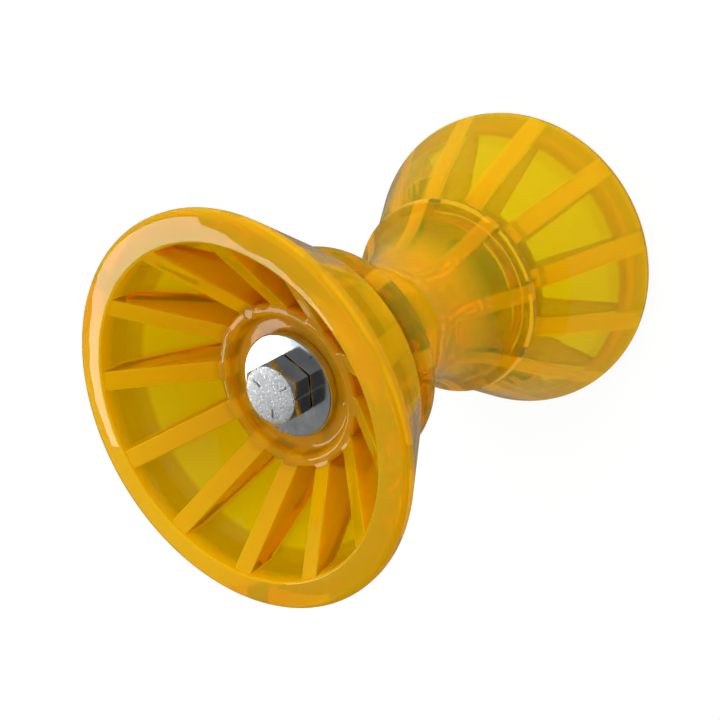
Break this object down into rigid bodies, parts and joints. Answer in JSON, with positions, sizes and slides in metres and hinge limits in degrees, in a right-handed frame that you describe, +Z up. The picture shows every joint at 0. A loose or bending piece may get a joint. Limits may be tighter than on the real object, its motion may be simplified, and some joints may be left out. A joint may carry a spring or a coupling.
{
  "type": "boat trailer roller",
  "caption": "Waisted amber trailer roller between flared ribbed end bells, turning on a long bolt with washers and a lock nut.",
  "frame": {"origin": "centre of the lower bell's lip, on the surface it stands on", "axes": "+Z up along the bolt, towards its head; the keel's seat goes all round the axis"},
  "size_m": [0.125, 0.125, 0.179],
  "materials": {
    "amber_bell": "glossy translucent amber moulding",
    "amber_roller": "glossy translucent amber moulding",
    "zinc_steel": "bright zinc plate, lightly spangled",
    "zinc_washer": "smooth bright zinc plate",
    "nylon": "off-white nylon"
  },
  "bodies": {
    "bolt_set": {"hex_bolt": "zinc_steel", "head_washer": "zinc_washer", "nut_washer": "zinc_washer", "lock_nut": "zinc_steel", "nut_insert": "nylon"},
    "roller": {"centre_roller": "amber_roller"},
    "top_bell": {"upper_bell": "amber_bell"},
    "bottom_bell": {"lower_bell": "amber_bell"}
  },
  "joints": [
    {"name": "roller_spin", "type": "hinge", "parent": "bolt_set", "child": "roller", "pos_m": [0, 0, 0.0895], "axis": [0, 0, 1], "continuous": true},
    {"name": "upper_bell_spin", "type": "hinge", "parent": "bolt_set", "child": "top_bell", "pos_m": [0, 0, 0.14], "axis": [0, 0, 1], "continuous": true},
    {"name": "lower_bell_spin", "type": "hinge", "parent": "bolt_set", "child": "bottom_bell", "pos_m": [0, 0, 0.039], "axis": [0, 0, 1], "continuous": true}
  ]
}
